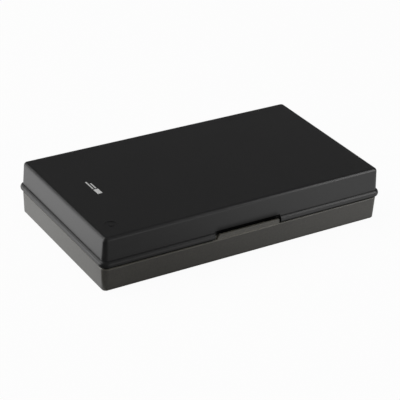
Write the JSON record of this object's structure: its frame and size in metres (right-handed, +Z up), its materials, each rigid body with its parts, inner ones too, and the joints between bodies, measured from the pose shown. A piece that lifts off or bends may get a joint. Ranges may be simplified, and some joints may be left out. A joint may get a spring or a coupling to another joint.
{
  "type": "hinged antistatic component box",
  "caption": "Shallow rectangular antistatic box with a back-hinged lid, a rounded bead round the lid's rim and a finger-tab catch at the front, foam-lined.",
  "frame": {"origin": "middle of the flat underside of the tray, box closed", "axes": "+X along the long side to the right seen from the front, +Y from the finger tab to the hinges, +Z up"},
  "size_m": [0.201, 0.1181, 0.0355],
  "materials": {
    "tray_plastic": "satin, carbon-filled moulded plastic",
    "lid_plastic": "satin, carbon-filled moulded plastic",
    "pin_steel": "drawn steel wire",
    "firm_foam": "open-cell conductive foam",
    "soft_foam": "open-cell soft conductive foam"
  },
  "bodies": {
    "tray": {"base_tray": "tray_plastic", "hinge_pin_right": "pin_steel", "hinge_pin_left": "pin_steel", "base_foam": "firm_foam"},
    "lid": {"lid": "lid_plastic", "lid_foam": "soft_foam"}
  },
  "joints": [
    {"name": "lid_hinge", "type": "hinge", "parent": "tray", "child": "lid", "pos_m": [0, 0.0586, 0.0153], "axis": [-1, 0, 0], "range_deg": [0, 108]}
  ]
}
